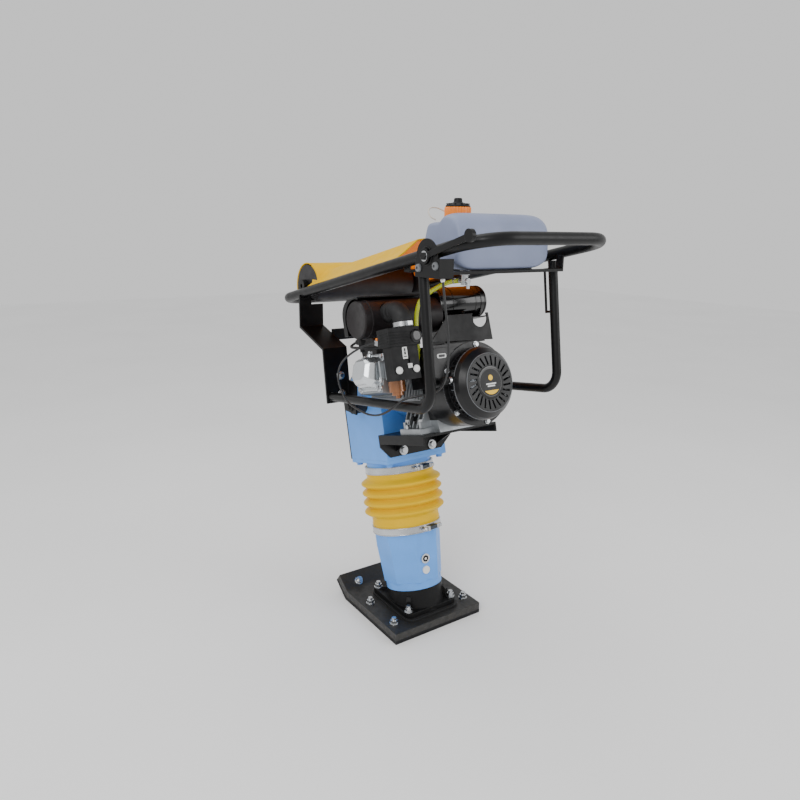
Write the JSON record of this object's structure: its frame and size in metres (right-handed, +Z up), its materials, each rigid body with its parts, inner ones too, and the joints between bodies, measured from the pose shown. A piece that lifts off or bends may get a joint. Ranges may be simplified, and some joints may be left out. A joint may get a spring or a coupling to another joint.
{
  "type": "tamping rammer",
  "caption": "Engine-driven jumping jack rammer: tilted shoe, rubber bellows leg, crankcase, side engine, tube handle loop, fuel tank and transport roller.",
  "frame": {"origin": "middle plane of the machine, on the underside of the flat sole, where the sole stands on the ground", "axes": "+X to the operator at the back, +Y to the machine's right, +Z up"},
  "size_m": [0.9082, 0.4466, 1.122],
  "materials": {
    "sole_steel": "matte",
    "shoe_board": "matte",
    "zinc_steel": "satin",
    "black_rubber": "matte",
    "black_iron": "satin",
    "blue_enamel": "gloss",
    "blue_case": "gloss",
    "machine_steel": "satin",
    "spring_steel": "satin",
    "yellow_rubber": "satin",
    "black_powder": "satin",
    "cast_aluminium": "satin",
    "bright_aluminium": "gloss",
    "bowl_brass": "satin",
    "black_plastic": "matte",
    "gloss_black": "gloss",
    "starter_black": "satin",
    "white_plastic": "satin",
    "cable_black": "satin",
    "tank_plastic": "satin",
    "cap_orange": "satin",
    "hose_yellow": "gloss",
    "cover_yellow": "satin",
    "roller_plastic": "matte"
  },
  "bodies": {
    "foot": {"sole_plate": "sole_steel", "shoe_board": "shoe_board", "shoe_bolts": "zinc_steel", "foot_gasket": "black_rubber", "foot_casting": "black_iron", "lower_cylinder": "blue_enamel", "oil_sight": "zinc_steel", "drain_plug": "blue_case", "spring_cylinder": "machine_steel", "lower_clamp": "zinc_steel", "bellows": "yellow_rubber", "rammer_springs": "spring_steel"},
    "machine": {"upper_clamp": "zinc_steel", "guide_cylinder": "blue_enamel", "crankcase": "blue_case", "crankcase_cover": "black_powder", "crankcase_bolts": "zinc_steel", "crank_bearings": "machine_steel", "engine_bracket": "black_powder", "engine_block": "cast_aluminium", "cylinder_head": "cast_aluminium", "valve_cover": "bright_aluminium", "plug_cap": "black_rubber", "ht_lead": "black_rubber", "carburettor": "cast_aluminium", "carb_bowl": "bowl_brass", "intake_box": "black_plastic", "intake_elbow": "black_plastic", "elbow_clamp": "zinc_steel", "filter_can": "black_plastic", "filter_canister": "gloss_black", "filter_bracket": "black_powder", "blower_housing": "gloss_black", "recoil_cover": "starter_black", "filter_guard": "black_powder", "engine_bolts": "zinc_steel", "muffler": "black_powder", "throttle_cable": "cable_black", "fuel_tank": "tank_plastic", "cap_tether": "white_plastic", "petcock": "zinc_steel", "fuel_hose": "hose_yellow", "handle_loop": "black_powder", "side_frames": "black_powder", "front_brackets": "black_powder", "rubber_mounts": "black_rubber", "throttle_housing": "black_powder", "top_cover": "cover_yellow", "roller_axle": "zinc_steel"},
    "crank_gear": {"crank_gear": "machine_steel"},
    "connecting_rod": {"connecting_rod": "machine_steel"},
    "piston_rod": {"piston_rod": "machine_steel"},
    "clutch_drum": {"clutch_drum": "machine_steel"},
    "engine_crank": {"engine_crank": "machine_steel"},
    "pull_grip": {"pull_grip": "black_plastic"},
    "fuel_cap": {"fuel_cap": "cap_orange"},
    "throttle_lever": {"throttle_lever": "black_powder"},
    "transport_roller": {"transport_roller": "roller_plastic"},
    "choke_lever": {"choke_lever": "white_plastic"},
    "petcock_lever": {"petcock_lever": "zinc_steel"}
  },
  "joints": [
    {"name": "leg_stroke", "type": "slide", "parent": "foot", "child": "machine", "axis": [-0.2521, 0, 0.9677], "range_m": [-0.03, 0.03], "stiffness_N_per_m": 60000, "springref_m": 0.00842, "deforming": ["bellows", "rammer_springs"]},
    {"name": "crank_turn", "type": "hinge", "parent": "machine", "child": "crank_gear", "pos_m": [-0.05792, 0, 0.53448], "axis": [0.9677, 0, 0.2521], "continuous": true},
    {"name": "crank_pin", "type": "hinge", "parent": "crank_gear", "child": "connecting_rod", "pos_m": [-0.08191, 0, 0.50756], "axis": [0.9677, 0, 0.2521], "continuous": true},
    {"name": "piston_stroke", "type": "slide", "parent": "machine", "child": "piston_rod", "axis": [-0.2521, 0, 0.9677], "range_m": [0, 0.04]},
    {"name": "clutch_turn", "type": "hinge", "parent": "machine", "child": "clutch_drum", "pos_m": [-0.05095, 0, 0.62672], "axis": [0.9677, 0, 0.2521], "continuous": true},
    {"name": "engine_turn", "type": "hinge", "parent": "machine", "child": "engine_crank", "pos_m": [0.12324, 0, 0.67209], "axis": [0.9677, 0, 0.2521], "continuous": true},
    {"name": "starter_pull", "type": "slide", "parent": "machine", "child": "pull_grip", "axis": [0, -1, 0], "range_m": [0, 0.6], "stiffness_N_per_m": 12, "springref_m": -0.25},
    {"name": "cap_turn", "type": "hinge", "parent": "machine", "child": "fuel_cap", "pos_m": [0.24, -0.058, 1.08], "axis": [0, 0, 1], "range_deg": [0, 120]},
    {"name": "throttle_swing", "type": "hinge", "parent": "machine", "child": "throttle_lever", "pos_m": [0.331, -0.205, 1.004], "axis": [0, 1, 0], "range_deg": [-60, 12]},
    {"name": "roller_turn", "type": "hinge", "parent": "machine", "child": "transport_roller", "pos_m": [-0.26611, 0, 0.90085], "axis": [0, 1, 0], "continuous": true},
    {"name": "choke_slide", "type": "slide", "parent": "machine", "child": "choke_lever", "axis": [-0.2521, 0, 0.9677], "range_m": [0, 0.01]},
    {"name": "fuel_tap", "type": "hinge", "parent": "machine", "child": "petcock_lever", "pos_m": [0.308, -0.08, 0.95], "axis": [1, 0, 0], "range_deg": [0, 90]}
  ],
  "couplings": [
    {"joint": "crank_pin", "follows": "crank_turn", "ratio": -1},
    {"joint": "clutch_turn", "follows": "crank_turn", "ratio": -3.375}
  ]
}
